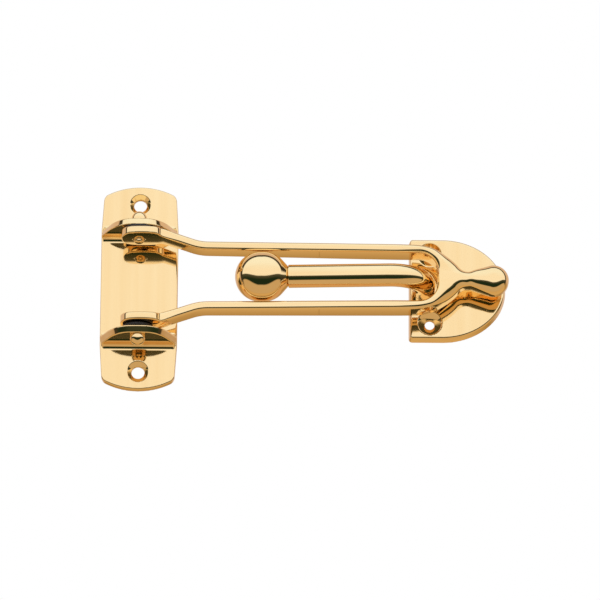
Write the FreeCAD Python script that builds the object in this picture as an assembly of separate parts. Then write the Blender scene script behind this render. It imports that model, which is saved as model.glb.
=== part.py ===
"""Swing-bar door guard in polished brass.

A U-shaped bar hinges on a base plate, and a ball-ended arm on a strike plate runs in its slot.

Frame, in millimetres: the origin is the centre of the base plate's back face, +X runs along the
bar towards the strike, +Y into the wall and +Z up. A height is the distance out from the wall,
so a point at height h has y = -h. The bar lies over the arm, with the door ajar at its limit.
"""
import FreeCAD
import Part

import math
import os

# Base plate: a tall rectangle with tapered corners and shallow arched ends.
BASE_HALF_WIDTH = 12.85
BASE_HALF_LENGTH = 35.3
BASE_THICKNESS = 3.0
BASE_STRAIGHT_HALF = 20.0
BASE_CORNER_X = 12.1
BASE_CORNER_RADIUS = 1.2
BASE_END_RADIUS = 24.0
BASE_END_HALF_CHORD = 11.0
BASE_EDGE_ROUND = 0.5
BASE_HOLE_Z = 29.15
BASE_HOLE_RADIUS = 2.15
BASE_SINK_RADIUS = 3.6

# Lugs: two half-moon ears across the base plate, which hold the pivot pins.
LUG_INNER_Z = 17.5
LUG_OUTER_Z = 19.9
LUG_TOP_HEIGHT = 17.5
LUG_TOP_RADIUS = 20.0
LUG_TOP_HALF_CHORD = 5.4
LUG_SHOULDER_X = 7.45
LUG_SHOULDER_RADIUS = 4.2
LUG_FOOT_HEIGHT = 3.1
LUG_BURIED_HEIGHT = 2.0
LUG_COVE = 2.0

# Pivot: one short headed pin through each lug and eye, on one upright axis.
PIVOT_HEIGHT = 13.5
PIN_RADIUS = 2.0
PIN_HEAD_RADIUS = 2.6
PIN_HEAD_SIDE = 1.0
PIN_HEAD_HEIGHT = 3.3
PIN_END_START_Z = 13.3
PIN_END_RADIUS = 1.7
PIN_INNER_Z = 12.1
PIN_TIP_RADIUS = 0.95
WASHER_INNER_Z = 16.6
WASHER_RADIUS = 5.0
WASHER_BORE_RADIUS = 2.15

# Swing bar: two strap legs with eyes, closed at the far end by a rounded nose.
BAR_THICKNESS = 3.1
EYE_CENTRE_X = 1.2
EYE_HALF_WIDTH = 7.05
EYE_HALF_DEPTH = 7.0
EYE_CROWN_RADIUS = 14.0
EYE_CROWN_HALF_CHORD = 4.4
EYE_CORNER_RADIUS = 3.6
EYE_BORE_RADIUS = 2.04
EYE_MIDDLE_Z = 14.9
EYE_BLEND = 0.8
KNEE_X = 7.2
KNEE_BEND = 8.0
HEEL_X = 20.4
HEEL_Z = 10.42
HEEL_BEND = 17.0
LEG_SLOPE = 0.0103
LEG_HALF_DEPTH = 4.0
LEG_DEPTH_START_X = 22.0
CLOSED_HALF_DEPTH = 4.9
CLOSED_DEPTH_X = 92.0
NOSE_HALF_DEPTH = 4.4
NOSE_DEPTH_X = 108.4
SLOT_END_X = 99.2
SLOT_END_RADIUS = 6.05
SHOULDER_X = 100.5
SHOULDER_RADIUS = 20.5
NECK_X = 108.1
NECK_HALF_WIDTH = 2.0
NECK_RADIUS = 3.0
NOSE_TIP_X = 122.9
NOSE_FLARE_HALF_WIDTH = 7.19
NOSE_RADIUS = 5.05
NOSE_FRONT_ROUND = 3.2
NOSE_BACK_ROUND = 2.0

# Strike plate: straight on the left and half an ellipse on the right, with drafted sides.
STRIKE_LEFT_X = 90.4
STRIKE_ROUND_X = 101.0
STRIKE_HALF_LENGTH = 17.2
STRIKE_ROUND_REACH = 20.7
STRIKE_THICKNESS = 4.0
STRIKE_DRAFT = 0.5
STRIKE_CORNER_RADIUS = 0.8
STRIKE_EDGE_ROUND = 0.7
STRIKE_HOLE_X = 96.9
STRIKE_HOLE_Z = 11.9
STRIKE_HOLE_RADIUS = 1.6
STRIKE_SINK_RADIUS = 4.1

# Strike arm: a round rod that stands on the strike plate, bends over and runs to the ball.
ARM_RADIUS = 3.85
ARM_RISE_DEGREES = 3.9
ARM_BEND_RADIUS = 11.0
ARM_BEND_CENTRE_X = 83.8
ARM_BEND_CENTRE_HEIGHT = 7.9
TENON_RADIUS = 2.6
TENON_PEEN_RADIUS = 3.6
TENON_PEEN_DEPTH = 1.0
STUD_RADIUS = 2.0
STUD_LENGTH = 8.0

# Ball knob: a slightly stretched sphere drawn in by a cone that meets the arm.
BALL_X = 40.4
BALL_RADIUS = 8.3
BALL_STRETCH = 1.2
BALL_CONE_DEGREES = 48.0
BALL_NECK_RADIUS = 3.3
BALL_BORE_RADIUS = 2.05
BALL_BORE_DEPTH = 8.2

TOUCHING = 1e-5
PAST = 5.0


def at(x, height, z):
    """The point at x, z and a height out from the wall."""
    return FreeCAD.Vector(x, -height, z)


OUTWARD = at(0, 1, 0)
UPWARD = at(0, 0, 1)
ALONG = at(1, 0, 0)


def unit(vector):
    """A copy of the vector with a length of one."""
    return FreeCAD.Vector(vector).normalize()


def rounded_face(corners):
    """A flat face through (point, radius) corners, with each radius as a tangent arc."""
    arcs = []
    for index, (here, radius) in enumerate(corners):
        to_last = unit(corners[index - 1][0] - here)
        to_next = unit(corners[(index + 1) % len(corners)][0] - here)
        half_angle = to_last.getAngle(to_next) / 2
        reach = radius / math.tan(half_angle)
        middle = here + unit(to_last + to_next) * (radius / math.sin(half_angle) - radius)
        arcs.append((here + to_last * reach, middle, here + to_next * reach))
    edges = []
    for index, (start, middle, end) in enumerate(arcs):
        if start.distanceToPoint(end) > TOUCHING:
            edges.append(Part.Arc(start, middle, end).toShape())
        next_start = arcs[(index + 1) % len(arcs)][0]
        if end.distanceToPoint(next_start) > TOUCHING:
            edges.append(Part.makeLine(end, next_start))
    return Part.Face(Part.Wire(edges))


def countersunk_hole(x, z, thickness, hole_radius, sink_radius):
    """The cutter of a screw hole with a 90 degree countersink at the front face."""
    hole = Part.makeCylinder(hole_radius, thickness + 2 * PAST, at(x, -PAST, z), OUTWARD)
    depth = sink_radius - hole_radius
    sink = Part.makeCone(hole_radius, sink_radius + PAST, depth + PAST,
                         at(x, thickness - depth, z), OUTWARD)
    return hole.fuse(sink)


def edges_where(shape, test):
    """The shape's edges whose two ends and middle all pass the test."""
    found = []
    for edge in shape.Edges:
        middle = edge.valueAt((edge.FirstParameter + edge.LastParameter) / 2)
        ends = [vertex.Point for vertex in edge.Vertexes]
        if all(test(point) for point in ends + [middle]):
            found.append(edge)
    return found


def crowned_corners(x, half_width, top, crown_radius, half_chord, corner_radius):
    """The right shoulder, crown and left shoulder of an outline with an arched top."""
    tilt = math.asin(half_chord / crown_radius)
    apex = top + crown_radius * (1 / math.cos(tilt) - 1)
    shoulder = apex - half_width * math.tan(tilt)
    return [(x + half_width, shoulder, corner_radius), (x, apex, crown_radius),
            (x - half_width, shoulder, corner_radius)]


def lug(side):
    """A half-moon ear with coved roots, on the upper (1) or lower (-1) half of the base."""
    crown = crowned_corners(0, LUG_SHOULDER_X, LUG_TOP_HEIGHT, LUG_TOP_RADIUS,
                            LUG_TOP_HALF_CHORD, LUG_SHOULDER_RADIUS)
    sides = [(BASE_HALF_WIDTH, LUG_BURIED_HEIGHT, 0), (BASE_HALF_WIDTH, LUG_FOOT_HEIGHT, 0)]
    outline = sides + crown + [(-x, height, radius) for x, height, radius in reversed(sides)]
    level = side * (LUG_INNER_Z - PAST)
    deep = LUG_OUTER_Z - LUG_INNER_Z + 2 * PAST
    ear = rounded_face([(at(x, height, level), radius) for x, height, radius in outline])
    ear = ear.extrude(UPWARD * side * deep)

    root = BASE_THICKNESS
    buried = LUG_BURIED_HEIGHT - PAST
    top = LUG_TOP_HEIGHT + PAST
    inner = side * LUG_INNER_Z
    outer = side * LUG_OUTER_Z
    inner_edge = inner - side * LUG_COVE
    outer_edge = outer + side * LUG_COVE
    x = -BASE_HALF_WIDTH - PAST
    section = rounded_face([
        (at(x, buried, inner_edge), 0), (at(x, root, inner_edge), 0),
        (at(x, root, inner), LUG_COVE), (at(x, top, inner), 0),
        (at(x, top, outer), 0), (at(x, root, outer), LUG_COVE),
        (at(x, root, outer_edge), 0), (at(x, buried, outer_edge), 0)])
    slab = section.extrude(ALONG * 2 * (BASE_HALF_WIDTH + PAST))
    return ear.common(slab)


def base_plate():
    """The plate with arched ends, its two lugs, screw holes and pivot holes."""
    end = crowned_corners(0, BASE_CORNER_X, BASE_HALF_LENGTH, BASE_END_RADIUS,
                          BASE_END_HALF_CHORD, BASE_CORNER_RADIUS)
    top = [(BASE_HALF_WIDTH, BASE_STRAIGHT_HALF, 0), *end,
           (-BASE_HALF_WIDTH, BASE_STRAIGHT_HALF, 0)]
    bottom = [(-x, -z, radius) for x, z, radius in top]
    outline = rounded_face([(at(x, 0, z), radius) for x, z, radius in top + bottom])
    plate = outline.extrude(OUTWARD * BASE_THICKNESS)
    front = edges_where(plate, lambda p: abs(-p.y - BASE_THICKNESS) < TOUCHING)
    plate = plate.makeFillet(BASE_EDGE_ROUND, front)
    for side in (1, -1):
        plate = plate.fuse(lug(side))
        plate = plate.cut(countersunk_hole(0, side * BASE_HOLE_Z, BASE_THICKNESS,
                                           BASE_HOLE_RADIUS, BASE_SINK_RADIUS))
    bore = Part.makeCylinder(PIN_RADIUS, 2 * LUG_OUTER_Z + 2 * PAST,
                             at(0, PIVOT_HEIGHT, -LUG_OUTER_Z - PAST), UPWARD)
    return plate.cut(bore).removeSplitter()


def pivot_pin(side):
    """A domed pin from outside the lug, through lug, washer and eye, to a narrower rounded end."""
    dome_rise = PIN_HEAD_HEIGHT - PIN_HEAD_SIDE
    dome_radius = (PIN_HEAD_RADIUS ** 2 + dome_rise ** 2) / (2 * dome_rise)
    seat = at(0, PIVOT_HEIGHT, side * LUG_OUTER_Z)
    out = UPWARD * side
    head = Part.makeCylinder(PIN_HEAD_RADIUS, PIN_HEAD_HEIGHT, seat, out)
    dome = Part.makeSphere(dome_radius, seat + out * (PIN_HEAD_HEIGHT - dome_radius))
    collar = Part.makeCylinder(PIN_HEAD_RADIUS, PIN_HEAD_SIDE, seat, out)
    head = head.common(dome).fuse(collar)
    shank = Part.makeCylinder(PIN_RADIUS, LUG_OUTER_Z - PIN_END_START_Z, seat, UPWARD * -side)
    end = Part.makeCylinder(PIN_END_RADIUS, LUG_OUTER_Z - PIN_INNER_Z, seat, UPWARD * -side)
    tip = edges_where(end, lambda p: abs(abs(p.z) - PIN_INNER_Z) < TOUCHING)
    end = end.makeFillet(PIN_TIP_RADIUS, tip)
    return head.fuse(shank).fuse(end).removeSplitter()


def washer(side):
    """A plain ring on the pin, against the lug's inner face."""
    start = at(0, PIVOT_HEIGHT, side * LUG_INNER_Z)
    thickness = LUG_INNER_Z - WASHER_INNER_Z
    ring = Part.makeCylinder(WASHER_RADIUS, thickness, start, UPWARD * -side)
    return ring.cut(Part.makeCylinder(WASHER_BORE_RADIUS, thickness, start, UPWARD * -side))


def bar_edge(offset, end_x):
    """The upper leg's edge at an offset from its middle line: three corners and their radii."""
    slant = math.atan2(HEEL_Z - EYE_MIDDLE_Z, HEEL_X - KNEE_X)
    run = math.atan(-LEG_SLOPE)
    knee = offset * math.tan(slant / 2)
    heel = offset * math.tan((slant + run) / 2)
    along_z = HEEL_Z - LEG_SLOPE * (end_x - HEEL_X)
    return [(KNEE_X - knee, EYE_MIDDLE_Z + offset, KNEE_BEND + offset),
            (HEEL_X - heel, HEEL_Z + offset, HEEL_BEND - offset),
            (end_x, along_z + offset)]


def bar_plan():
    """The bar seen from the front, thicker than the bar: outer edge, nose, then the slot."""
    half = BAR_THICKNESS / 2
    start_x = EYE_CENTRE_X - EYE_HALF_WIDTH - PAST
    outer_knee, outer_heel, shoulder = bar_edge(half, SHOULDER_X)
    inner_knee, inner_heel, slot_end = bar_edge(-half, SLOT_END_X)
    outer = [(start_x, EYE_MIDDLE_Z + half, 0), outer_knee, outer_heel,
             shoulder + (SHOULDER_RADIUS,), (NECK_X, NECK_HALF_WIDTH, NECK_RADIUS),
             (NOSE_TIP_X, NOSE_FLARE_HALF_WIDTH, NOSE_RADIUS)]
    inner = [slot_end + (SLOT_END_RADIUS,), inner_heel, inner_knee,
             (start_x, EYE_MIDDLE_Z - half, 0)]
    mirrored_outer = [(x, -z, radius) for x, z, radius in reversed(outer)]
    mirrored_inner = [(x, -z, radius) for x, z, radius in reversed(inner)]
    path = outer + mirrored_outer + mirrored_inner + inner
    face = rounded_face([(at(x, 0, z), radius) for x, z, radius in path])
    return face.extrude(OUTWARD * 2 * PIVOT_HEIGHT)


def bar_side():
    """The bar seen from below: the squarish eye, and the strap that deepens towards the nose."""
    low = -EYE_MIDDLE_Z - PAST
    upper = [(EYE_CENTRE_X, LEG_HALF_DEPTH, 0), (LEG_DEPTH_START_X, LEG_HALF_DEPTH, 0),
             (CLOSED_DEPTH_X, CLOSED_HALF_DEPTH, 0), (NOSE_DEPTH_X, NOSE_HALF_DEPTH, 0),
             (NOSE_TIP_X, NOSE_HALF_DEPTH, NOSE_FRONT_ROUND)]
    lower = [(x, -depth, radius) for x, depth, radius in reversed(upper)]
    lower[0] = (NOSE_TIP_X, -NOSE_HALF_DEPTH, NOSE_BACK_ROUND)
    strap_face = rounded_face([(at(x, PIVOT_HEIGHT + depth, low), radius)
                               for x, depth, radius in upper + lower])
    strap = strap_face.extrude(UPWARD * -2 * low)
    crown = crowned_corners(EYE_CENTRE_X, EYE_HALF_WIDTH, EYE_HALF_DEPTH, EYE_CROWN_RADIUS,
                            EYE_CROWN_HALF_CHORD, EYE_CORNER_RADIUS)
    mirrored = [(x, -depth, radius) for x, depth, radius in reversed(crown)]
    eye_face = rounded_face([(at(x, PIVOT_HEIGHT + depth, low), radius)
                             for x, depth, radius in crown + mirrored])
    profile = strap.fuse(eye_face.extrude(UPWARD * -2 * low))

    def concave(point):
        beside_eye = EYE_CENTRE_X + EYE_CROWN_HALF_CHORD < point.x < KNEE_X + EYE_HALF_WIDTH
        on_strap = abs(abs(-point.y - PIVOT_HEIGHT) - LEG_HALF_DEPTH) < TOUCHING
        return beside_eye and on_strap

    return profile.makeFillet(EYE_BLEND, edges_where(profile, concave))


def swing_bar():
    """The one-piece U bar with an eye bored in each leg."""
    bar = bar_plan().common(bar_side()).removeSplitter()
    bore = Part.makeCylinder(EYE_BORE_RADIUS, 2 * EYE_MIDDLE_Z + 2 * PAST,
                             at(0, PIVOT_HEIGHT, -EYE_MIDDLE_Z - PAST), UPWARD)
    return bar.cut(bore)


def strike_outline(height, grow):
    """The D-shaped outline at a height, grown all round by the draft there."""
    half = STRIKE_HALF_LENGTH + grow
    left = STRIKE_LEFT_X - grow
    top_left = at(left, height, half)
    bottom_left = at(left, height, -half)
    corner = STRIKE_CORNER_RADIUS
    bulge = corner * (1 - math.sqrt(0.5))
    ellipse = Part.Ellipse(at(STRIKE_ROUND_X + STRIKE_ROUND_REACH + grow, height, 0),
                           at(STRIKE_ROUND_X, height, half), at(STRIKE_ROUND_X, height, 0))
    quarter = math.pi / 2
    rounded = Part.ArcOfEllipse(ellipse, -quarter, quarter).toShape()
    return Part.Wire(Part.__sortEdges__([
        Part.makeLine(bottom_left + UPWARD * corner, top_left - UPWARD * corner),
        Part.Arc(top_left - UPWARD * corner, top_left + at(bulge, 0, -bulge),
                 top_left + ALONG * corner).toShape(),
        Part.makeLine(top_left + ALONG * corner, at(STRIKE_ROUND_X, height, half)),
        rounded,
        Part.makeLine(at(STRIKE_ROUND_X, height, -half), bottom_left + ALONG * corner),
        Part.Arc(bottom_left + ALONG * corner, bottom_left + at(bulge, 0, bulge),
                 bottom_left + UPWARD * corner).toShape()]))


def arm_foot_x():
    """Where the arm's foot stands on the strike plate."""
    return ARM_BEND_CENTRE_X + ARM_BEND_RADIUS


def tenon():
    """The arm's foot inside the strike plate, peened into a cone at the back face."""
    start = at(arm_foot_x(), 0, 0)
    post = Part.makeCylinder(TENON_RADIUS, STRIKE_THICKNESS, start, OUTWARD)
    peen = Part.makeCone(TENON_PEEN_RADIUS, TENON_RADIUS, TENON_PEEN_DEPTH, start, OUTWARD)
    return post.fuse(peen).removeSplitter()


def strike_plate():
    """The D-shaped plate with two countersunk screw holes and the hole for the arm's foot."""
    outlines = [strike_outline(0, STRIKE_DRAFT), strike_outline(STRIKE_THICKNESS, 0)]
    plate = Part.makeLoft(outlines, True, True)
    front = edges_where(plate, lambda p: abs(-p.y - STRIKE_THICKNESS) < TOUCHING)
    plate = plate.makeFillet(STRIKE_EDGE_ROUND, front)
    for side in (1, -1):
        plate = plate.cut(countersunk_hole(STRIKE_HOLE_X, side * STRIKE_HOLE_Z, STRIKE_THICKNESS,
                                           STRIKE_HOLE_RADIUS, STRIKE_SINK_RADIUS))
    return plate.cut(tenon())


def arm_direction():
    """The way the straight part of the arm points, from the ball to the bend."""
    rise = math.radians(ARM_RISE_DEGREES)
    return at(math.cos(rise), math.sin(rise), 0)


def bend_start():
    """Where the straight part of the arm becomes its bend."""
    rise = math.radians(ARM_RISE_DEGREES)
    return at(ARM_BEND_CENTRE_X - ARM_BEND_RADIUS * math.sin(rise),
              ARM_BEND_CENTRE_HEIGHT + ARM_BEND_RADIUS * math.cos(rise), 0)


def ball_centre():
    """The centre of the ball, on the arm's straight line."""
    back = (bend_start().x - BALL_X) / arm_direction().x
    return bend_start() - arm_direction() * back


def neck_distance():
    """How far from the ball's centre its cone ends."""
    slope = math.radians(BALL_CONE_DEGREES)
    cone_fall = BALL_RADIUS * math.cos(slope) - BALL_NECK_RADIUS
    return BALL_STRETCH + BALL_RADIUS * math.sin(slope) + cone_fall / math.tan(slope)


def strike_arm():
    """The bent rod, with the stud that holds the ball and the foot that holds the plate."""
    neck = ball_centre() + arm_direction() * neck_distance()
    straight = Part.makeCylinder(ARM_RADIUS, neck.distanceToPoint(bend_start()),
                                 neck, arm_direction())
    section = Part.Face(Part.Wire(Part.makeCircle(ARM_RADIUS, bend_start(), arm_direction())))
    centre = at(ARM_BEND_CENTRE_X, ARM_BEND_CENTRE_HEIGHT, 0)
    bend = section.revolve(centre, UPWARD, 90 + ARM_RISE_DEGREES)
    post = Part.makeCylinder(ARM_RADIUS, ARM_BEND_CENTRE_HEIGHT - STRIKE_THICKNESS,
                             at(arm_foot_x(), STRIKE_THICKNESS, 0), OUTWARD)
    stud = Part.makeCylinder(STUD_RADIUS, STUD_LENGTH, neck, arm_direction() * -1)
    return straight.fuse([bend, post, stud, tenon()]).removeSplitter()


def ball_knob():
    """The pear-shaped knob, bored for the arm's stud: one profile turned about the arm's line."""
    axis = arm_direction()
    across = axis.cross(UPWARD)
    centre = ball_centre()
    slope = math.radians(BALL_CONE_DEGREES)

    def on_sphere(angle):
        middle = centre + axis * (BALL_STRETCH if angle > 0 else 0)
        return middle + (axis * math.sin(angle) + across * math.cos(angle)) * BALL_RADIUS

    neck = centre + axis * neck_distance()
    bore_floor = neck - axis * BALL_BORE_DEPTH
    pole = centre - axis * BALL_RADIUS
    side = centre + across * BALL_RADIUS
    profile = Part.Wire([
        Part.Arc(pole, on_sphere(-math.pi / 4), side).toShape(),
        Part.makeLine(side, side + axis * BALL_STRETCH),
        Part.Arc(side + axis * BALL_STRETCH, on_sphere(slope / 2), on_sphere(slope)).toShape(),
        Part.makeLine(on_sphere(slope), neck + across * BALL_NECK_RADIUS),
        Part.makeLine(neck + across * BALL_NECK_RADIUS, neck + across * BALL_BORE_RADIUS),
        Part.makeLine(neck + across * BALL_BORE_RADIUS, bore_floor + across * BALL_BORE_RADIUS),
        Part.makeLine(bore_floor + across * BALL_BORE_RADIUS, bore_floor),
        Part.makeLine(bore_floor, pole)])
    return Part.Face(profile).revolve(centre, axis, 360)


NODES = {
    "base_plate": base_plate(),
    "pivot_pin_upper": pivot_pin(1),
    "pivot_pin_lower": pivot_pin(-1),
    "washer_upper": washer(1),
    "washer_lower": washer(-1),
    "swing_bar": swing_bar(),
    "strike_plate": strike_plate(),
    "strike_arm": strike_arm(),
    "ball_knob": ball_knob(),
}

os.makedirs("parts", exist_ok=True)
for name, shape in NODES.items():
    shape.Solids[0].exportStep("parts/" + name + ".step")
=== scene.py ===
"""The looks of a polished brass swing-bar door guard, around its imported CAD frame.

Each piece is a smooth mesh on the zero surface of a distance field. Fields are in millimetres,
and h is the height out from the wall, so h = -y. The outlines repeat the CAD part's dimensions,
and softened edges, drafted lugs, a domed nose and a saddled neck are added to them here.
Both halves of the guard are alike, so many fields work on az or q, the distance from its middle.
"""

import math

import bpy
import numpy as np
from mathutils import Matrix, Vector


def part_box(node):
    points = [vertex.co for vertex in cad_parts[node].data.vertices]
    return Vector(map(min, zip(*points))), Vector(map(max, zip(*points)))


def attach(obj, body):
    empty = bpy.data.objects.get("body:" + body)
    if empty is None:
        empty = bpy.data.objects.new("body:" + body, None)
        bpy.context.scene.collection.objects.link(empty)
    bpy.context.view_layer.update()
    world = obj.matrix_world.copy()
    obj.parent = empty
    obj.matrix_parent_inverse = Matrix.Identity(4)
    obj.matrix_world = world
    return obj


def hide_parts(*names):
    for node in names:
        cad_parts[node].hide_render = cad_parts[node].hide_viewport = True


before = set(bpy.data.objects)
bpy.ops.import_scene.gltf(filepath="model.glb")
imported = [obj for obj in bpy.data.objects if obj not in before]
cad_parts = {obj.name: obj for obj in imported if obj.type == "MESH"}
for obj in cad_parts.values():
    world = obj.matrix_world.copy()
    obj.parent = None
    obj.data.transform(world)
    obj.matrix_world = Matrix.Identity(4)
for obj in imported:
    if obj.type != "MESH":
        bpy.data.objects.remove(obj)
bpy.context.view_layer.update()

MM = 0.001

# Base plate: a tall rectangle with tapered corners and shallow arched ends.
BASE_HALF_WIDTH = 12.85
BASE_HALF_LENGTH = 35.3
BASE_THICKNESS = 3.0
BASE_TAPER_START_Z = 20.0
BASE_CORNER = (12.1, 32.06)
BASE_CORNER_RADIUS = 1.2
BASE_END_RADIUS = 24.0
BASE_EDGE_ROUND = 0.5
BASE_HOLE_Z = 29.15
BASE_HOLE_RADIUS = 2.15
BASE_SINK_RADIUS = 3.6

# Lugs: two half-moon ears with coved roots and drafted rims.
LUG_INNER_Z = 17.5
LUG_OUTER_Z = 19.9
LUG_MIDDLE_Z = (LUG_INNER_Z + LUG_OUTER_Z) / 2
LUG_TOP_HEIGHT = 17.5
LUG_TOP_RADIUS = 20.0
LUG_SHOULDER = (7.45, 16.18)
LUG_SHOULDER_RADIUS = 4.2
LUG_FOOT_HEIGHT = 3.1
LUG_BURIED_HEIGHT = 0.5
LUG_INSET = 0.5
LUG_INSET_ENDS = (3.0, 3.8)
LUG_RIM_DRAFT = 0.37
LUG_COVE = 2.0
LUG_COVE_REACH = 2.1
LUG_EDGE_ROUND = 0.35
LUG_BORE_RADIUS = 2.02

# Pivot: one short headed pin and one washer at each lug, on one upright axis.
PIVOT_HEIGHT = 13.5
PIN_RADIUS = 2.0
PIN_HEAD_RADIUS = 2.6
PIN_HEAD_TOP_Z = 23.2
PIN_DOME_RADIUS = 2.62
PIN_END_START_Z = 13.3
PIN_END_RADIUS = 1.7
PIN_INNER_Z = 12.1
PIN_TIP_ROUND = 0.95
PIN_HIDDEN_Z = 20.4
WASHER_INNER_Z = 16.6
WASHER_RADIUS = 5.0
WASHER_BORE_RADIUS = 2.15

# Swing bar, seen from the front: bent legs, a closed end with its slot, a neck and a flared nose.
BAR_HALF_THICKNESS = 1.55
BAR_BULGE = 0.12
KNEE = (7.2, 14.9)
KNEE_BEND = 8.0
HEEL = (20.4, 10.42)
HEEL_BEND = 17.0
LEG_SLOPE = 0.0103
LEG_END = (90.8, 9.69)
LEG_TO_CLOSED_X = 60.0
SLOT_END_X = 99.2
SLOT_END_RADIUS = 6.05
SHOULDER_RADIUS = 20.5
NECK_COVE = 2.4
NOSE_CENTRE_X = 117.8
NOSE_RADIUS = 5.1
NOSE_START_X = 104.0
NOSE_FLARE = math.radians(19.287)
NOSE_FLARE_HALF_WIDTH = 5.4

# Swing bar, seen from below: squarish eyes and a strap that deepens towards the closed end.
EYE_CENTRE_X = 1.2
EYE_HALF_WIDTH = 7.05
EYE_HALF_DEPTH = 7.0
EYE_CROWN_RADIUS = 14.0
EYE_CORNER_RADIUS = 3.6
EYE_BLEND = 0.8
EYE_BORE_RADIUS = 2.04
EYE_END_X = 20.0
NO_BORE = -9.0
LEG_HALF_DEPTH = 4.0
SADDLE_X = 108.6
SADDLE_DEPTH = 0.9
SADDLE_SPREAD = 2.2

# Swing bar, changes along it: each is a gain, and the values of x between which it comes in.
DEPTH_GAINS = [(0.9, 10.0, 100.0), (-0.5, 98.0, 112.0)]
EYE_EDGE_ROUND = 0.5
LEG_ROUND_GAINS = [(0.4, 8.0, 14.0)]
CLOSED_ROUND_GAINS = [(0.4, 84.0, 94.0), (2.1, 97.0, 103.0), (-0.8, 104.0, 108.5)]
CLOSED_BACK_SHARE = 0.6
NOSE_FRONT_ROUND_GAINS = [(1.6, 110.0, 116.5)]
NOSE_BACK_ROUND_GAINS = [(0.8, 110.0, 116.5)]

# Strike plate: straight on the left and half an ellipse on the right, with drafted sides.
STRIKE_LEFT_X = 90.4
STRIKE_ROUND_X = 101.0
STRIKE_HALF_LENGTH = 17.2
STRIKE_ROUND_REACH = 20.7
STRIKE_THICKNESS = 4.0
STRIKE_DRAFT = 0.5
STRIKE_CORNER_RADIUS = 0.8
STRIKE_EDGE_ROUND = 0.7
STRIKE_HOLE = (96.9, 11.9)
STRIKE_HOLE_RADIUS = 1.6
STRIKE_SINK_RADIUS = 4.1

# Strike arm: a round rod that stands on the strike plate, bends over and runs to the ball.
ARM_RADIUS = 3.85
ARM_RISE = math.radians(3.9)
ARM_BEND_RADIUS = 11.0
ARM_BEND_CENTRE = (83.8, 7.9)
ARM_FOOT_X = ARM_BEND_CENTRE[0] + ARM_BEND_RADIUS
ARM_BEND_START = (ARM_BEND_CENTRE[0] - ARM_BEND_RADIUS * math.sin(ARM_RISE),
                  ARM_BEND_CENTRE[1] + ARM_BEND_RADIUS * math.cos(ARM_RISE))
TENON_RADIUS = 2.6
TENON_TOP = 4.6
TENON_CLEARANCE = 0.03
PEEN_DEPTH = 1.0
STUD_RADIUS = 2.0
STUD_START = 1.5
STUD_END = 12.0

# Ball knob: a slightly stretched sphere drawn in by a cone that meets the arm.
BALL_X = 40.4
BALL_RADIUS = 8.3
BALL_STRETCH = 1.2
BALL_CONE = math.radians(48)
NECK_DISTANCE = 9.4
BALL_BORE_RADIUS = 2.05
BALL_BORE_START = 1.2
BALL_TO_BEND = (ARM_BEND_START[0] - BALL_X) / math.cos(ARM_RISE)

# Small rounds shared by the pieces.
BACK_ROUND = 0.15
HOLE_ROUND = 0.12
BORE_ROUND = 0.05
END_ROUND = 0.1
RING_ROUND = 0.15
ROD_NECK_ROUND = 0.3
BALL_NECK_ROUND = 0.2

# Mesh steps in millimetres. Rounds under a step's size still show through the exact normals.
MESH_STEP = 0.3
PIN_MESH_STEP = 0.16
WASHER_MESH_STEP = 0.15
LEAST_STEEPNESS = 0.2
TINY = 1e-9

# Surface colours, each as the two ends of its variation.
BRASS_TONES = [(0.93, 0.695, 0.37), (0.965, 0.76, 0.44)]
NYLON_TONES = [(0.008, 0.008, 0.009), (0.018, 0.018, 0.02)]
FLOOR_TONES = [(0.78, 0.78, 0.77), (0.84, 0.84, 0.83)]

# Studio colours, which the brass mirrors.
FRONT_LIGHT = (1.03, 1.0, 0.97)
OVERHEAD_LIGHT = (1.02, 1.09, 1.16)
TABLE_EDGE = (0.075, 0.075, 0.05)
TABLE_TOP = (0.014, 0.028, 0.014)
NEAR_FLOOR = (0.62, 0.45, 0.26)
DARK_SIDES = (0.05, 0.04, 0.025)
ROOM_WALL = (0.72, 0.55, 0.45)
ROOM_SKIRTING = (0.42, 0.25, 0.08)
ROOM_FLOOR = (0.68, 0.45, 0.2)
WHITE = (1, 1, 1)


# ---------------------------------------------------------------- distance fields

def rounded_max(a, b, radius):
    """Where both fields are inside, with the edge between them rounded."""
    corner = np.hypot(np.maximum(a + radius, 0), np.maximum(b + radius, 0))
    return np.minimum(np.maximum(a, b), -radius) + corner


def rounded_min(a, b, radius):
    """Where either field is inside, with the corner between them filled by a cove."""
    return -rounded_max(-a, -b, radius)


def smooth_step(value, start, end):
    """0 before start, 1 after end, and a smooth rise between."""
    share = np.clip((value - start) / (end - start), 0, 1)
    return share * share * (3 - 2 * share)


def gained(x, gains):
    """The sum of gains, each of which comes in smoothly between two values of x."""
    return sum(gain * smooth_step(x, start, end) for gain, start, end in gains)


def right_of(u, v, start, end):
    """How far a point lies to the right of the line that goes up from start to end."""
    run, rise = end[0] - start[0], end[1] - start[1]
    return ((u - start[0]) * rise - (v - start[1]) * run) / math.hypot(run, rise)


def countersink(rho, h, front, hole_radius, sink_radius):
    """A screw hole with a 90 degree countersink at the front face."""
    floor = front - (sink_radius - hole_radius)
    cone = (rho - hole_radius - (h - floor)) * math.sqrt(0.5)
    return np.minimum(rho - hole_radius, cone)


def slab(outline, h, thickness, edge_round):
    """A plate of a given outline on the wall, softly rounded at its front edge."""
    half = thickness / 2
    return rounded_max(outline, np.abs(h - half) - half, np.where(h > half, edge_round, BACK_ROUND))


def from_pivot(x, h):
    """Distance from the pivot's axis."""
    return np.hypot(x, h - PIVOT_HEIGHT)


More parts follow.
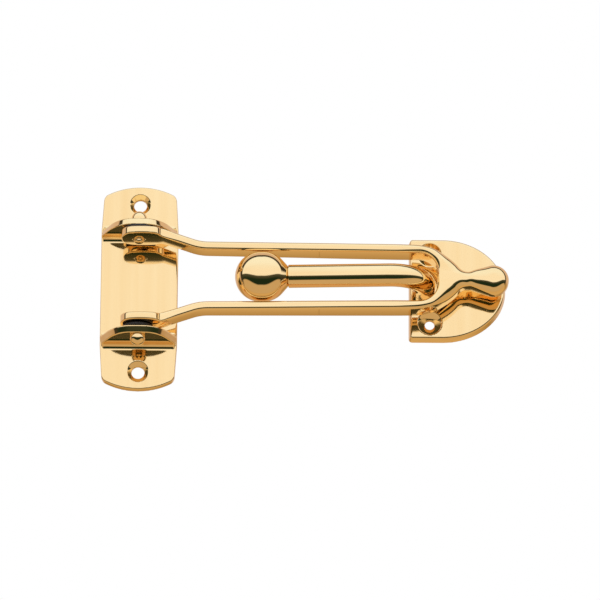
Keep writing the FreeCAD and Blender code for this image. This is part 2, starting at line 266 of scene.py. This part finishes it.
def lugs(ax, h, az):
    """The two coved half-moon lugs, whose rims are drafted and set in from the plate's sides."""
    flank = right_of(ax, h, (BASE_HALF_WIDTH, LUG_FOOT_HEIGHT), LUG_SHOULDER)
    crown = np.hypot(ax, h - LUG_TOP_HEIGHT + LUG_TOP_RADIUS) - LUG_TOP_RADIUS
    ear = rounded_max(flank, crown, LUG_SHOULDER_RADIUS)
    inset = LUG_INSET - LUG_INSET * smooth_step(h, *LUG_INSET_ENDS)
    ear = np.maximum(ear - LUG_RIM_DRAFT * (LUG_MIDDLE_Z - az), ax - BASE_HALF_WIDTH + inset)
    off_middle = np.abs(az - LUG_MIDDLE_Z)
    half = LUG_OUTER_Z - LUG_MIDDLE_Z
    section = rounded_min(h - BASE_THICKNESS, off_middle - half, LUG_COVE)
    section = np.maximum(section, off_middle - half - LUG_COVE_REACH)
    lug = rounded_max(section, ear, LUG_EDGE_ROUND)
    lug = np.maximum(lug, LUG_BURIED_HEIGHT - h)
    return rounded_max(lug, LUG_BORE_RADIUS - from_pivot(ax, h), END_ROUND)


def base_plate(x, h, z):
    """The plate with tapered corners, arched ends and two lugs."""
    ax, az = np.abs(x), np.abs(z)
    taper = right_of(ax, az, (BASE_HALF_WIDTH, BASE_TAPER_START_Z), BASE_CORNER)
    sides = np.maximum(ax - BASE_HALF_WIDTH, taper)
    end = np.hypot(ax, az - BASE_HALF_LENGTH + BASE_END_RADIUS) - BASE_END_RADIUS
    plate = slab(rounded_max(sides, end, BASE_CORNER_RADIUS), h, BASE_THICKNESS, BASE_EDGE_ROUND)
    holes = countersink(np.hypot(x, az - BASE_HOLE_Z), h, BASE_THICKNESS,
                        BASE_HOLE_RADIUS, BASE_SINK_RADIUS)
    plate = rounded_max(plate, -holes, HOLE_ROUND)
    return np.minimum(plate, lugs(ax, h, az))


def pivot_pin(x, h, z):
    """A domed head outside the lug and a shank with a narrower, rounded end inside the eye."""
    t = np.abs(z)
    rho = from_pivot(x, h)
    dome_z = PIN_HEAD_TOP_Z - PIN_DOME_RADIUS
    dome = np.where(t > dome_z, np.hypot(t - dome_z, rho) - PIN_DOME_RADIUS, rho - PIN_HEAD_RADIUS)
    head = rounded_max(np.maximum(rho - PIN_HEAD_RADIUS, dome), LUG_OUTER_Z - t, RING_ROUND)
    shank = rounded_max(rho - PIN_RADIUS, PIN_END_START_Z - t, END_ROUND)
    end = rounded_max(rho - PIN_END_RADIUS, PIN_INNER_Z - t, PIN_TIP_ROUND)
    return np.minimum(head, np.maximum(np.minimum(shank, end), t - PIN_HIDDEN_Z))


def washer(x, h, z):
    """A thin ring between lug and eye."""
    rho = from_pivot(x, h)
    middle = (WASHER_INNER_Z + LUG_INNER_Z) / 2
    faces = np.abs(np.abs(z) - middle) - (LUG_INNER_Z - middle)
    ring = rounded_max(faces, rho - WASHER_RADIUS, RING_ROUND)
    return rounded_max(ring, WASHER_BORE_RADIUS - rho, BORE_ROUND)


def leg_centre_distance(x, q):
    """Distance from the upper leg's bent middle line, in the plan seen from the front."""
    slant = math.atan2(HEEL[1] - KNEE[1], HEEL[0] - KNEE[0])
    run = -LEG_SLOPE
    knee_reach = KNEE_BEND * math.tan(-slant / 2)
    heel_reach = HEEL_BEND * math.tan((run - slant) / 2)
    knee_start = KNEE[0] - knee_reach
    heel_end = HEEL[0] + heel_reach
    heel_mid = (heel_end - HEEL_BEND * run, HEEL[1] + heel_reach * run + HEEL_BEND)
    knee = np.hypot(x - knee_start, q - KNEE[1] + KNEE_BEND) - KNEE_BEND
    middle = (x - KNEE[0]) * -math.sin(slant) + (q - KNEE[1]) * math.cos(slant)
    heel = HEEL_BEND - np.hypot(x - heel_mid[0], q - heel_mid[1])
    last = (q - HEEL[1] - (x - HEEL[0]) * run) * math.cos(run)
    along = (x - KNEE[0]) * math.cos(slant) + (q - KNEE[1]) * math.sin(slant)
    bent = np.where(along < knee_reach, knee, middle)
    bent = np.where(along > math.dist(KNEE, HEEL) - heel_reach, heel, bent)
    bent = np.where(x < knee_start, q - KNEE[1], bent)
    return np.where(x > heel_end, last, bent)


def nose_plan(x, q):
    """The nose seen from the front: a flare out from the neck to a round tip."""
    sine, cosine = math.sin(NOSE_FLARE), math.cos(NOSE_FLARE)
    ahead = x - NOSE_CENTRE_X
    flare = (q - NOSE_FLARE_HALF_WIDTH) * cosine - ahead * sine
    tip = np.hypot(ahead, q) - NOSE_RADIUS
    return np.where(ahead * cosine + q * sine < 0, np.maximum(flare, NOSE_START_X - x), tip)


def bar_plan(x, q):
    """The bar's outline seen from the front, on its upper half: legs, closed end, neck and nose."""
    legs = np.abs(leg_centre_distance(x, q)) - BAR_HALF_THICKNESS
    leg_line = q - LEG_END[1] + (x - LEG_END[0]) * LEG_SLOPE
    centre_q = LEG_END[1] + BAR_HALF_THICKNESS - SHOULDER_RADIUS
    shoulder = np.hypot(x - LEG_END[0], q - centre_q) - SHOULDER_RADIUS
    outer = np.where(x < LEG_END[0], leg_line - BAR_HALF_THICKNESS, shoulder)
    outer = rounded_min(outer, nose_plan(x, q), NECK_COVE)
    slot = rounded_max(leg_line + BAR_HALF_THICKNESS, x - SLOT_END_X, SLOT_END_RADIUS)
    return np.where(x < LEG_TO_CLOSED_X, legs, np.maximum(outer, -slot))


def bar_rounds(x, h):
    """The radius of the bar's edges: small on the legs, and large on the closed end and nose."""
    legs = EYE_EDGE_ROUND + gained(x, LEG_ROUND_GAINS)
    closed = gained(x, CLOSED_ROUND_GAINS)
    front = legs + closed + gained(x, NOSE_FRONT_ROUND_GAINS)
    back = legs + CLOSED_BACK_SHARE * closed + gained(x, NOSE_BACK_ROUND_GAINS)
    return np.where(h > PIVOT_HEIGHT, front, back)


def bar_side(x, depth):
    """The bar seen from below: the squarish eye, and the strap with its saddle at the neck."""
    half = LEG_HALF_DEPTH + gained(x, DEPTH_GAINS)
    saddle = SADDLE_DEPTH * np.exp(-((x - SADDLE_X) / SADDLE_SPREAD) ** 2)
    strap = np.maximum(depth - half + saddle, EYE_CENTRE_X - x)
    crown_drop = EYE_CROWN_RADIUS - EYE_HALF_DEPTH
    crown = np.hypot(x - EYE_CENTRE_X, depth + crown_drop) - EYE_CROWN_RADIUS
    eye = rounded_max(np.abs(x - EYE_CENTRE_X) - EYE_HALF_WIDTH, crown, EYE_CORNER_RADIUS)
    return rounded_min(strap, eye, EYE_BLEND)


def swing_bar(x, h, z):
    """The U bar: strap legs with squarish eyes, a rounded closed end and a domed nose."""
    depth = np.abs(h - PIVOT_HEIGHT)
    plan = bar_plan(x, np.abs(z)) + BAR_BULGE * (depth / LEG_HALF_DEPTH) ** 2
    bar = rounded_max(plan, bar_side(x, depth), bar_rounds(x, h))
    bore = np.where(x < EYE_END_X, EYE_BORE_RADIUS - from_pivot(x, h), NO_BORE)
    return rounded_max(bar, bore, RING_ROUND)


def strike_outline(x, az):
    """The D outline: near the edge, the distance outside it."""
    across = (x - STRIKE_ROUND_X) / STRIKE_ROUND_REACH
    up = az / STRIKE_HALF_LENGTH
    share = np.hypot(across, up)
    slope = np.hypot(across / STRIKE_ROUND_REACH, up / STRIKE_HALF_LENGTH) + TINY
    rounded = share * (share - 1) / slope
    edge = np.where(x < STRIKE_ROUND_X, az - STRIKE_HALF_LENGTH, rounded)
    return rounded_max(edge, STRIKE_LEFT_X - x, STRIKE_CORNER_RADIUS)


def tenon_wall(x, h, z):
    """Distance outside the arm's foot, which is peened wider towards the plate's back."""
    peen = np.maximum(PEEN_DEPTH - h, 0)
    return np.hypot(x - ARM_FOOT_X, z) - TENON_RADIUS - peen


def strike_plate(x, h, z):
    """The D-shaped plate with drafted sides, two screw holes and the hole for the arm's foot."""
    az = np.abs(z)
    outline = strike_outline(x, az) - STRIKE_DRAFT * (1 - h / STRIKE_THICKNESS)
    plate = slab(outline, h, STRIKE_THICKNESS, STRIKE_EDGE_ROUND)
    holes = countersink(np.hypot(x - STRIKE_HOLE[0], az - STRIKE_HOLE[1]), h, STRIKE_THICKNESS,
                        STRIKE_HOLE_RADIUS, STRIKE_SINK_RADIUS)
    plate = rounded_max(plate, -holes, HOLE_ROUND)
    return rounded_max(plate, TENON_CLEARANCE - tenon_wall(x, h, z), BORE_ROUND)


def arm_axes(x, h, z):
    """Distance along the arm's straight line from the ball's centre, and out from that line."""
    dx, dh = x - ARM_BEND_START[0], h - ARM_BEND_START[1]
    along = dx * math.cos(ARM_RISE) + dh * math.sin(ARM_RISE)
    off = dh * math.cos(ARM_RISE) - dx * math.sin(ARM_RISE)
    return along + BALL_TO_BEND, np.hypot(off, z)


def strike_arm(x, h, z):
    """The bent rod with its stud in the knob and its peened foot in the plate."""
    along, rho = arm_axes(x, h, z)
    bend_x, bend_h = ARM_BEND_CENTRE
    bend = np.where(h > bend_h, np.hypot(x - bend_x, h - bend_h) - ARM_BEND_RADIUS, x - ARM_FOOT_X)
    rod = np.where(along < BALL_TO_BEND, rho, np.hypot(bend, z)) - ARM_RADIUS
    rod = rounded_max(rod, NECK_DISTANCE - along, ROD_NECK_ROUND)
    rod = rounded_max(rod, STRIKE_THICKNESS - h, RING_ROUND)
    stud = np.maximum(rho - STUD_RADIUS, np.maximum(STUD_START - along, along - STUD_END))
    half = TENON_TOP / 2
    foot = rounded_max(tenon_wall(x, h, z), np.abs(h - half) - half, END_ROUND)
    return np.minimum(np.minimum(rod, stud), foot)


def ball_knob(x, h, z):
    """A slightly stretched ball drawn in by a cone that meets the rod, bored for its stud."""
    along, rho = arm_axes(x, h, z)
    t = along - np.clip(along, 0, BALL_STRETCH)
    sine, cosine = math.sin(BALL_CONE), math.cos(BALL_CONE)
    cone = t * sine + rho * cosine - BALL_RADIUS
    ball = np.hypot(t, rho) - BALL_RADIUS
    pear = np.where(t * cosine - rho * sine > 0, cone, ball)
    pear = rounded_max(pear, along - NECK_DISTANCE, BALL_NECK_ROUND)
    bore = rounded_max(rho - BALL_BORE_RADIUS, BALL_BORE_START - along, BORE_ROUND)
    return rounded_max(pear, -bore, BORE_ROUND)


# ---------------------------------------------------------------- meshing

def sampled(field, points):
    """The field at points given as rows of x, y, z."""
    return field(points[..., 0], -points[..., 1], points[..., 2])


def gradient(field, points, step=0.004):
    """The field's slope at each point, by central differences."""
    slopes = []
    for offset in np.eye(3) * step:
        rise = sampled(field, points + offset) - sampled(field, points - offset)
        slopes.append(rise / (2 * step))
    return np.stack(slopes, axis=-1)


def grid_values(field, low, step, counts):
    """The field at every corner of a grid, taken one slab of x at a time."""
    ys, zs = (low[k] + step * np.arange(counts[k]) for k in (1, 2))
    values = np.empty(counts)
    for i in range(counts[0]):
        points = np.broadcast_arrays(low[0] + i * step, ys[:, None], zs[None, :])
        values[i] = sampled(field, np.stack(points, axis=-1))
    return values


def crossings(values, axis):
    """The grid edges along an axis that the surface crosses.

    Gives each edge's first corner, the way from it to the surface in steps, and whether the
    edge runs inwards, so that its quad has to be flipped.
    """
    inside = values < 0
    unit = np.eye(3, dtype=int)[axis]
    corners = np.argwhere(inside != np.roll(inside, -1, axis))
    cells = np.array(values.shape) - 1
    corners = corners[(corners > 0).all(axis=1) & (corners < cells).all(axis=1)]
    here = values[tuple(corners.T)]
    there = values[tuple((corners + unit).T)]
    return corners, (here / (here - there))[:, None] * unit, here > 0


def surface_net(field, low, high, step):
    """Vertices and quads on the field's zero surface: one vertex for each grid cell it crosses."""
    counts = np.ceil((high - low) / step).astype(int) + 1
    values = grid_values(field, low, step, counts)
    cells = counts - 1
    totals = np.zeros((cells.prod(), 3))
    hits = np.zeros(cells.prod())
    units = np.eye(3, dtype=int)
    rings = []
    for axis in range(3):
        side_u, side_v = units[(axis + 1) % 3], units[(axis + 2) % 3]
        corners, ways, flip = crossings(values, axis)
        points = low + step * (corners + ways)
        ring = []
        for back_u, back_v in ((1, 1), (0, 1), (0, 0), (1, 0)):
            cell = np.ravel_multi_index((corners - back_u * side_u - back_v * side_v).T, cells)
            np.add.at(totals, cell, points)
            np.add.at(hits, cell, 1)
            ring.append(cell)
        ring = np.stack(ring, axis=-1)
        ring[flip] = ring[flip][:, ::-1]
        rings.append(ring)
    used = np.flatnonzero(hits)
    number = np.zeros(cells.prod(), int)
    number[used] = np.arange(len(used))
    vertices = totals[used] / hits[used][:, None]
    return vertices, number[np.concatenate(rings)]


def settled(field, vertices, rounds=4):
    """The vertices moved onto the field's zero surface, and the normals there."""
    for _ in range(rounds):
        slope = gradient(field, vertices)
        steepness = np.maximum((slope ** 2).sum(-1), LEAST_STEEPNESS)
        vertices = vertices - slope * (sampled(field, vertices) / steepness)[:, None]
    slope = gradient(field, vertices)
    return vertices, slope / np.linalg.norm(slope, axis=-1, keepdims=True)


def meshed(name, field, node, step):
    """A smooth mesh of the field over the node's CAD box, with exact normals."""
    low, high = (np.array(corner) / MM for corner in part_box(node))
    margin = 3 * step
    vertices, quads = surface_net(field, low - margin, high + margin, step)
    vertices, normals = settled(field, vertices)
    mesh = bpy.data.meshes.new(name)
    mesh.from_pydata((vertices * MM).tolist(), [], quads.tolist())
    mesh.polygons.foreach_set("use_smooth", np.ones(len(quads), bool))
    mesh.normals_split_custom_set_from_vertices(normals.tolist())
    mesh.update()
    piece = bpy.data.objects.new(name, mesh)
    bpy.context.scene.collection.objects.link(piece)
    return piece


# ---------------------------------------------------------------- materials

def new_material(name):
    """A node material with its tree and its Principled shader."""
    material = bpy.data.materials.new(name)
    material.use_nodes = True
    tree = material.node_tree
    return material, tree, tree.nodes["Principled BSDF"]


def noise(tree, scale, stretch=(1, 1, 1), detail=3.0, roughness=0.5):
    """Noise in object space, with its scale per metre stretched along the axes."""
    place = tree.nodes.new("ShaderNodeTexCoord")
    mapping = tree.nodes.new("ShaderNodeMapping")
    mapping.inputs["Scale"].default_value = stretch
    texture = tree.nodes.new("ShaderNodeTexNoise")
    texture.inputs["Scale"].default_value = scale
    texture.inputs["Detail"].default_value = detail
    texture.inputs["Roughness"].default_value = roughness
    tree.links.new(place.outputs["Object"], mapping.inputs["Vector"])
    tree.links.new(mapping.outputs["Vector"], texture.inputs["Vector"])
    return texture.outputs["Fac"]


def ranged(tree, value, low, high, start=0.3, end=0.7):
    """A value remapped from start..end to low..high."""
    node = tree.nodes.new("ShaderNodeMapRange")
    node.inputs["From Min"].default_value = start
    node.inputs["From Max"].default_value = end
    node.inputs["To Min"].default_value = low
    node.inputs["To Max"].default_value = high
    tree.links.new(value, node.inputs["Value"])
    return node.outputs["Result"]


def mixed(tree, share, first, second):
    """Two plain colours mixed by a value."""
    node = tree.nodes.new("ShaderNodeMix")
    node.data_type = "RGBA"
    node.inputs["A"].default_value = (*first, 1)
    node.inputs["B"].default_value = (*second, 1)
    tree.links.new(share, node.inputs["Factor"])
    return node.outputs["Result"]


def bumped(tree, height, distance, strength, under=None):
    """A bump of a height in metres, over another bump if one is given."""
    node = tree.nodes.new("ShaderNodeBump")
    node.inputs["Strength"].default_value = strength
    node.inputs["Distance"].default_value = distance
    tree.links.new(height, node.inputs["Height"])
    if under is not None:
        tree.links.new(under, node.inputs["Normal"])
    return node.outputs["Normal"]


def polished_brass(name, grain):
    """Mirror-polished, lacquered brass with faint polishing lines along the grain."""
    material, tree, shader = new_material(name)
    shader.inputs["Metallic"].default_value = 1.0
    tone = ranged(tree, noise(tree, 260.0, grain, detail=4.0), 0.0, 1.0)
    colour = mixed(tree, tone, *BRASS_TONES)
    tree.links.new(colour, shader.inputs["Base Color"])
    lines = noise(tree, 900.0, grain, detail=5.0, roughness=0.7)
    wear = noise(tree, 140.0, detail=4.0)
    tree.links.new(ranged(tree, wear, 0.035, 0.09), shader.inputs["Roughness"])
    wave = bumped(tree, noise(tree, 90.0, detail=1.0), 0.00004, 0.35)
    tree.links.new(bumped(tree, lines, 0.000004, 0.25, wave), shader.inputs["Normal"])
    return material


def black_nylon():
    """Matt black moulded plastic."""
    material, tree, shader = new_material("black_nylon")
    tone = ranged(tree, noise(tree, 700.0), 0.0, 1.0)
    colour = mixed(tree, tone, *NYLON_TONES)
    tree.links.new(colour, shader.inputs["Base Color"])
    tree.links.new(ranged(tree, noise(tree, 2500.0), 0.42, 0.6), shader.inputs["Roughness"])
    tree.links.new(bumped(tree, noise(tree, 5000.0), 0.00002, 0.4), shader.inputs["Normal"])
    return material


# ---------------------------------------------------------------- stage

def maths(tree, operation, first, second):
    """A maths node on two values, of which the second may be a plain number."""
    node = tree.nodes.new("ShaderNodeMath")
    node.operation = operation
    tree.links.new(first, node.inputs[0])
    if isinstance(second, (int, float)):
        node.inputs[1].default_value = second
    else:
        tree.links.new(second, node.inputs[1])
    return node.outputs[0]


def overlaid(tree, share, under, over):
    """A colour output with a plain colour laid over it by a value."""
    node = tree.nodes.new("ShaderNodeMix")
    node.data_type = "RGBA"
    node.inputs["B"].default_value = (*over, 1)
    tree.links.new(share, node.inputs["Factor"])
    tree.links.new(under, node.inputs["A"])
    return node.outputs["Result"]


def above(tree, value, start, end):
    """0 where the value is under start, and 1 where it is over end."""
    return ranged(tree, value, 0.0, 1.0, start, end)


def below(tree, value, start, end):
    """1 where the value is under start, and 0 where it is over end."""
    return ranged(tree, value, 1.0, 0.0, start, end)


def bent_horizon(tree, up, across, bend):
    """The height of a direction, lowered towards the sides, so that a level band curves."""
    spread = maths(tree, "MULTIPLY", across, across)
    return maths(tree, "SUBTRACT", up, maths(tree, "MULTIPLY", spread, bend))


def studio_front(tree, across, back, up):
    """Soft light in front and overhead, over a dark table with a warm floor before it."""
    overhead = above(tree, up, 0.3, 0.8)
    light = mixed(tree, overhead, FRONT_LIGHT, OVERHEAD_LIGHT)
    table = bent_horizon(tree, up, across, 0.36)
    light = overlaid(tree, below(tree, table, -0.25, -0.2), light, TABLE_EDGE)
    light = overlaid(tree, below(tree, table, -0.5, -0.3), light, TABLE_TOP)
    near_floor = bent_horizon(tree, up, across, 0.66)
    light = overlaid(tree, below(tree, near_floor, -0.86, -0.8), light, NEAR_FLOOR)
    sides = maths(tree, "MULTIPLY", above(tree, back, -0.05, 0.0), above(tree, up, -0.35, -0.15))
    return overlaid(tree, sides, light, DARK_SIDES)


def studio_back(tree, light, back, up):
    """The warm room behind: a wall, darker low down, and a lit floor."""
    behind = above(tree, back, 0.16, 0.24)
    light = overlaid(tree, behind, light, ROOM_WALL)
    skirting = maths(tree, "MULTIPLY", behind, below(tree, up, -0.15, 0.1))
    light = overlaid(tree, skirting, light, ROOM_SKIRTING)
    far_floor = maths(tree, "MULTIPLY", behind, below(tree, up, -0.45, -0.15))
    return overlaid(tree, far_floor, light, ROOM_FLOOR)


def make_world():
    """A bright, soft studio for the brass to mirror, which the camera itself sees as white."""
    world = bpy.data.worlds.new("studio")
    bpy.context.scene.world = world
    world.use_nodes = True
    tree = world.node_tree
    place = tree.nodes.new("ShaderNodeTexCoord")
    split = tree.nodes.new("ShaderNodeSeparateXYZ")
    tree.links.new(place.outputs["Generated"], split.inputs["Vector"])
    across, back, up = split.outputs
    light = studio_back(tree, studio_front(tree, across, back, up), back, up)
    seen = tree.nodes.new("ShaderNodeLightPath")
    light = overlaid(tree, seen.outputs["Is Camera Ray"], light, WHITE)
    tree.links.new(light, tree.nodes["Background"].inputs["Color"])


def make_floor():
    """A plain pale floor, well below the guard, which hangs on a wall."""
    mesh = bpy.data.meshes.new("floor")
    half, level = 4.0, -0.8
    mesh.from_pydata([(-half, -half, level), (half, -half, level),
                      (half, half, level), (-half, half, level)], [], [(0, 1, 2, 3)])
    floor = bpy.data.objects.new("floor", mesh)
    bpy.context.scene.collection.objects.link(floor)
    material, tree, shader = new_material("pale_floor")
    tone = ranged(tree, noise(tree, 3.0), 0.0, 1.0)
    tree.links.new(mixed(tree, tone, *FLOOR_TONES), shader.inputs["Base Color"])
    shader.inputs["Roughness"].default_value = 0.8
    mesh.materials.append(material)
    floor.visible_glossy = False


def make_camera():
    """A long lens from 17.5 degrees below, aimed at the middle of the guard."""
    elevation, distance, roll = math.radians(-17.5), 2.0, 0.0075
    target = Vector((0.05367, -0.003, -0.0039))
    direction = Vector((0, math.cos(elevation), -math.sin(elevation)))
    data = bpy.data.cameras.new("camera")
    data.lens = 360.0
    data.sensor_width = 36.0
    camera = bpy.data.objects.new("camera", data)
    bpy.context.scene.collection.objects.link(camera)
    turn = direction.to_track_quat("-Z", "Y").to_matrix().to_4x4() @ Matrix.Rotation(roll, 4, "Z")
    camera.matrix_world = Matrix.Translation(target - direction * distance) @ turn
    bpy.context.scene.camera = camera


# ---------------------------------------------------------------- the guard

brass_upright = polished_brass("brass_upright", (1.0, 1.0, 0.04))
brass_lengthwise = polished_brass("brass_lengthwise", (0.04, 1.0, 1.0))
nylon = black_nylon()

PIECES = [
    ("base", "base_plate", base_plate, MESH_STEP, brass_upright, "brass"),
    ("base", "pivot_pin_upper", pivot_pin, PIN_MESH_STEP, brass_upright, "brass"),
    ("base", "pivot_pin_lower", pivot_pin, PIN_MESH_STEP, brass_upright, "brass"),
    ("base", "washer_upper", washer, WASHER_MESH_STEP, nylon, "nylon"),
    ("base", "washer_lower", washer, WASHER_MESH_STEP, nylon, "nylon"),
    ("bar", "swing_bar", swing_bar, MESH_STEP, brass_lengthwise, "brass"),
    ("strike", "strike_plate", strike_plate, MESH_STEP, brass_upright, "brass"),
    ("strike", "strike_arm", strike_arm, MESH_STEP, brass_lengthwise, "brass"),
    ("strike", "ball_knob", ball_knob, MESH_STEP, brass_lengthwise, "brass"),
]
for body, node, field, step, material, slot in PIECES:
    piece = meshed(node + "_polished", field, node, step)
    piece.data.materials.append(material)
    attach(piece, body)
    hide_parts(node)

make_world()
make_floor()
make_camera()
bpy.context.scene.view_settings.view_transform = "Standard"
